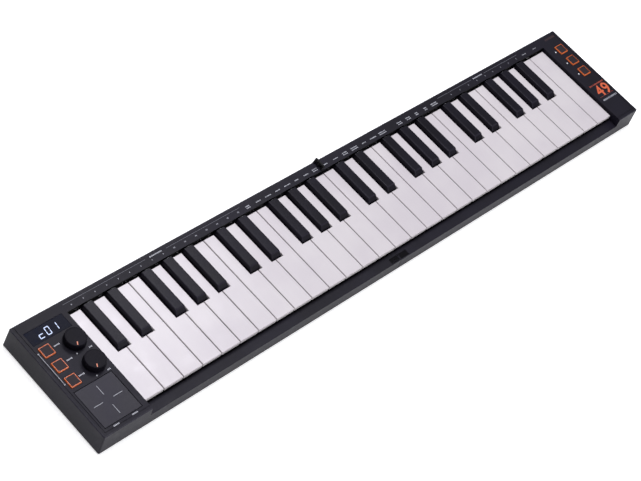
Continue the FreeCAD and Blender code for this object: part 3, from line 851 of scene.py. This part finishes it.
def makeDigits():
    low, high = places["display_window"]
    middle = (low.x + high.x) / 2
    floor = high.z - digit["sunk"] * mm
    centre = (low.y + high.y) / 2 + (digit["baseline"] + digit["height"] / 2) * mm
    for place, letters in enumerate(lit):
        solid = bmesh.new()
        for letter in letters:
            outline = segmentShape(letter)
            x0 = middle + (place - 1) * digit["pitch"] * mm
            bottom = [solid.verts.new((x0 + (x + y * digit["slant"]) * mm, centre + y * mm, floor))
                      for x, y in outline]
            top = [solid.verts.new(v.co + Vector((0, 0, digit["thickness"] * mm))) for v in bottom]
            solid.faces.new(top[::-1])
            solid.faces.new(bottom)
            for i in range(len(outline)):
                j = (i + 1) % len(outline)
                solid.faces.new((bottom[j], bottom[i], top[i], top[j]))
        bmesh.ops.recalc_face_normals(solid, faces=solid.faces)
        pieceFrom("display_digit_%d" % (place + 1), solid, "left_half", ["digits"])


makeDigits()


# electronics of the bass half

paintOf = {"control_board": "board", "port_board": "board", "battery": "battery", "pad_sensor_board": "board",
           "touch_pad": "touchPad", "display_module": "moduleBlack", "display_window": "glass",
           "upper_potentiometer": "steel", "lower_potentiometer": "steel", "left_switch_1": "moduleBlack",
           "left_switch_2": "moduleBlack", "left_switch_3": "moduleBlack", "pedal_socket": "moduleBlack",
           "usb_socket": "steel", "left_contact_board": "board", "left_contact_strip_1": "domeRubber",
           "left_contact_strip_2": "domeRubber"}
edgeOf = {"touch_pad": 0.25, "display_window": 0.2, "battery": 1.0, "display_module": 0.3}
for name, solid in electronics.items():
    if name in edgeOf:
        roundTop(solid, edgeOf[name])
    pieceFrom(name, solid, "left_half", [paintOf[name]],
              ["left_electronics"] if name == "control_board" else ())
print("electronics made")


# buttons

button = {"halfWidth": 5.0, "corner": 0.7, "outline": 0.6, "slope": 0.06, "sink": 0.14}


def makeButtons(node, body):
    for count, solid in enumerate(solidsOf(node)):
        low, high = boxOf(solid)
        middle = (low + high) / 2

        def upright(edge):
            a, b = edge.verts[0].co, edge.verts[1].co
            offsets = [abs(v[axis] - middle[axis]) for v in (a, b) for axis in (0, 1)]
            outer = all(abs(offset - button["halfWidth"] * mm) < nearly for offset in offsets)
            return outer and abs(a.z - b.z) > mm

        face = max((f for f in solid.faces if f.normal.z > 0.99), key=lambda f: f.calc_center_median().z)
        bmesh.ops.inset_region(solid, faces=[face], thickness=button["outline"] * mm, depth=0.0)
        slope = bmesh.ops.inset_region(solid, faces=[face], thickness=button["slope"] * mm,
                                       depth=-button["sink"] * mm)
        for dark in [face] + slope["faces"]:
            dark.material_index = 1
        roundEdges(solid, upright, button["corner"] * mm)
        pieceFrom("%s_cap_%d" % (node, count + 1), solid, body, ["orange", "buttonFace"],
                  [node] if count == 0 else ())


makeButtons("left_buttons", "left_buttons")
makeButtons("right_buttons", "right_buttons")
print("buttons made")


# loose hardware

foot = {"sizes": {"Radius": 5.0, "Height": 1.6, "Groove at": 3.2, "Groove width": 0.5, "Groove depth": 0.35,
                  "Edge": 0.3},
        "sides": 40}
hardwarePaint = {"pivot_rod": "steel", "catch_plate": "catch", "screw": "blackSteel", "hinge_pin": "steel",
                 "contact_board": "board", "contact_strip": "domeRubber", "button_board": "board",
                 "switch": "moduleBlack", "light_pipe": "lightPipe"}
hardwareEdge = {"catch_plate": 0.2, "light_pipe": 0.15}


def footTree():
    # a rubber disc with one ring groove in its tread
    graph, given = newTree("rubber_feet", inMetres(foot["sizes"]))
    inside = given["Groove at"] - given["Groove width"]
    outline = [(0.0, 0.0), (inside, 0.0), (inside, given["Groove depth"]),
               (given["Groove at"], given["Groove depth"]), (given["Groove at"], 0.0), (given["Radius"], 0.0),
               (given["Radius"], given["Height"]), (0.0, given["Height"])]
    disc = revolve(graph, outline, given["Edge"], foot["sides"])
    return closeTree(graph, onPoints(graph, given["Geometry"], disc), given)


rubberFeet = footTree()


def makeHardware(node, body, names):
    side = node.split("_")[0]
    solids = dict(zip(names, solidsOf(node)))
    feet = [boxOf(solids.pop("foot_%d" % i)) for i in range(1, 5)]
    spots = [((low.x + high.x) / 2, (low.y + high.y) / 2, low.z) for low, high in feet]
    low, high = feet[0]
    values = {**inMetres(foot["sizes"]), "Radius": (high.x - low.x) / 2, "Height": high.z - low.z}
    grow(side + "_feet", rubberFeet, values, spots, [], body, "rubber", [node], turned=True)
    for name, solid in solids.items():
        kind = name.rstrip("_0123456789")
        if kind in hardwareEdge:
            roundTop(solid, hardwareEdge[kind])
        pieceFrom("%s_%s" % (side, name), solid, body, [hardwarePaint[kind]])


screws = ["screw_%d" % i for i in range(1, 9)]
feetNames = ["foot_%d" % i for i in range(1, 5)]
makeHardware("left_hardware", "left_half", ["pivot_rod", "catch_plate"] + screws + feetNames + ["hinge_pin"])
makeHardware("right_hardware", "right_half", ["pivot_rod", "catch_plate"] + screws + feetNames
             + ["contact_board", "contact_strip_1", "contact_strip_2", "button_board", "switch_1", "switch_2",
                "switch_3", "light_pipe_1", "light_pipe_2", "light_pipe_3"])
print("hardware made")


# stage

stage = {"floor": 6.0, "floorTone": (0.96, 0.96, 0.96, 1.0), "floorGlow": 0.5}


def makeFloor():
    graph = newFinish("pale_floor")
    closeFinish(graph, Base_Color=stage["floorTone"], Roughness=0.9, Specular_IOR_Level=0.1,
                Emission_Color=stage["floorTone"], Emission_Strength=stage["floorGlow"])
    mesh = bpy.data.meshes.new("floor")
    reach = stage["floor"]
    corners = [(-reach, -reach, 0), (reach, -reach, 0), (reach, reach, 0), (-reach, reach, 0)]
    mesh.from_pydata(corners, [], [(0, 1, 2, 3)])
    mesh.materials.append(graph.material)
    floor = bpy.data.objects.new("floor", mesh)
    bpy.context.scene.collection.objects.link(floor)


# the room's light is dimmer near the horizon and towards the bass end
room = {"horizon": (0.27, 0.27, 0.285, 1.0), "zenith": (0.92, 0.92, 0.96, 1.0), "strength": 0.82,
        "bassEnd": 0.3, "dimFrom": -0.95, "dimTo": 0.1}


def makeWorld():
    world = bpy.data.worlds.new("soft_room")
    world.use_nodes = True
    world.node_tree.nodes.clear()
    graph = Graph(world.node_tree)
    across, _, height = axesOf(graph, graph.node("ShaderNodeTexCoord", {}, {}, out="Generated"))
    away = across.ramp(room["dimFrom"], room["dimTo"], room["bassEnd"], 1.0)
    light = graph.mix(height.ramp(0.0, 1.0), room["horizon"], room["zenith"])
    back = graph.node("ShaderNodeBackground", {}, {"Color": light, "Strength": away * room["strength"]})
    graph.node("ShaderNodeOutputWorld", {}, {"Surface": back})
    bpy.context.scene.world = world


lamps = {"overhead_softbox": {"place": (-0.3, 0.2, 1.9), "target": (-0.1, 0.0, 0.0), "size": (1.2, 1.0),
                              "power": 11.0},
         "panel_sheen": {"place": (0.32, 0.45, 1.0), "target": (-0.3, 0.0, 0.0), "size": (0.35, 0.3),
                         "power": 4.8, "colour": (0.92, 0.90, 1.0)},
         "front_fill": {"place": (0.4, -1.8, 0.7), "target": (0.0, 0.0, 0.0), "size": (1.6, 0.9),
                        "power": 11.0}}


def addLamp(name, place, target, size, power, colour=(1.0, 1.0, 1.0)):
    data = bpy.data.lights.new(name, "AREA")
    data.shape = "RECTANGLE"
    data.size, data.size_y = size
    data.energy = power
    data.color = colour
    lamp = bpy.data.objects.new(name, data)
    lamp.location = place
    lamp.rotation_euler = (Vector(target) - Vector(place)).to_track_quat("-Z", "Y").to_euler()
    bpy.context.scene.collection.objects.link(lamp)


camera = {"place": (-0.99359, -0.46071, 1.16256), "turn": (39.2506, -17.4709, -44.0911), "lens": 106.665,
          "sensor": 36.0}


def makeCamera():
    data = bpy.data.cameras.new("camera")
    data.lens = camera["lens"]
    data.sensor_fit = "HORIZONTAL"
    data.sensor_width = camera["sensor"]
    data.clip_start = 0.01
    holder = bpy.data.objects.new("camera", data)
    holder.location = camera["place"]
    holder.rotation_euler = Euler([math.radians(v) for v in camera["turn"]], "XYZ")
    bpy.context.scene.collection.objects.link(holder)
    bpy.context.scene.camera = holder


makeFloor()
makeWorld()
for lampName, lampValues in lamps.items():
    addLamp(lampName, **lampValues)
makeCamera()
bpy.context.scene.view_settings.view_transform = "Standard"
print("stage set")
